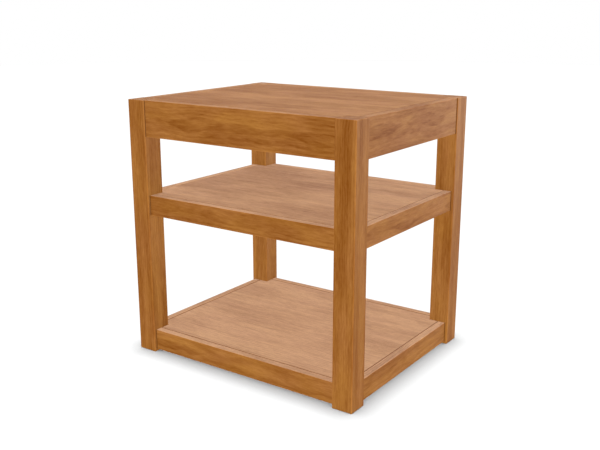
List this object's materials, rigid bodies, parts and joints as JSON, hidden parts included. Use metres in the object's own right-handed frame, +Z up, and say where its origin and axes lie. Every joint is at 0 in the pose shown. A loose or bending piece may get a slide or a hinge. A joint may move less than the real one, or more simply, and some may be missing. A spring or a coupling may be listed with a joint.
{
  "type": "end table with shelves",
  "caption": "Square-legged wooden end table with a framed panel top over open shelves, for things kept beside a seat or bed.",
  "frame": {"origin": "on the floor under the middle of the table", "axes": "+X to the right along the front, +Y to the back, +Z up"},
  "size_m": [0.5588, 0.4572, 0.5588],
  "materials": {
    "leg_wood": "satin stained hardwood",
    "rail_wood": "satin stained hardwood",
    "panel_wood": "satin stained hardwood",
    "cleat_wood": "planed, unstained",
    "screw_steel": "zinc plated"
  },
  "bodies": {
    "root": {"leg_front_left": "leg_wood", "leg_front_right": "leg_wood", "leg_rear_left": "leg_wood", "leg_rear_right": "leg_wood", "top_apron_front": "rail_wood", "top_apron_right": "rail_wood", "top_apron_rear": "rail_wood", "top_apron_left": "rail_wood", "middle_rail_front": "rail_wood", "middle_rail_right": "rail_wood", "middle_rail_rear": "rail_wood", "middle_rail_left": "rail_wood", "bottom_rail_front": "rail_wood", "bottom_rail_right": "rail_wood", "bottom_rail_rear": "rail_wood", "bottom_rail_left": "rail_wood", "top_panel": "panel_wood", "middle_shelf_panel": "panel_wood", "bottom_shelf_panel": "panel_wood", "top_cleat_front": "cleat_wood", "top_cleat_right": "cleat_wood", "top_cleat_rear": "cleat_wood", "top_cleat_left": "cleat_wood", "middle_cleat_front": "cleat_wood", "middle_cleat_right": "cleat_wood", "middle_cleat_rear": "cleat_wood", "middle_cleat_left": "cleat_wood", "bottom_cleat_front": "cleat_wood", "bottom_cleat_right": "cleat_wood", "bottom_cleat_rear": "cleat_wood", "bottom_cleat_left": "cleat_wood", "corner_block_front_left": "cleat_wood", "corner_block_front_right": "cleat_wood", "corner_block_rear_left": "cleat_wood", "corner_block_rear_right": "cleat_wood", "top_cleat_screws": "screw_steel", "top_panel_screws": "screw_steel", "middle_cleat_screws": "screw_steel", "middle_panel_screws": "screw_steel", "bottom_cleat_screws": "screw_steel", "bottom_panel_screws": "screw_steel", "corner_block_screws": "screw_steel"}
  },
  "joints": []
}
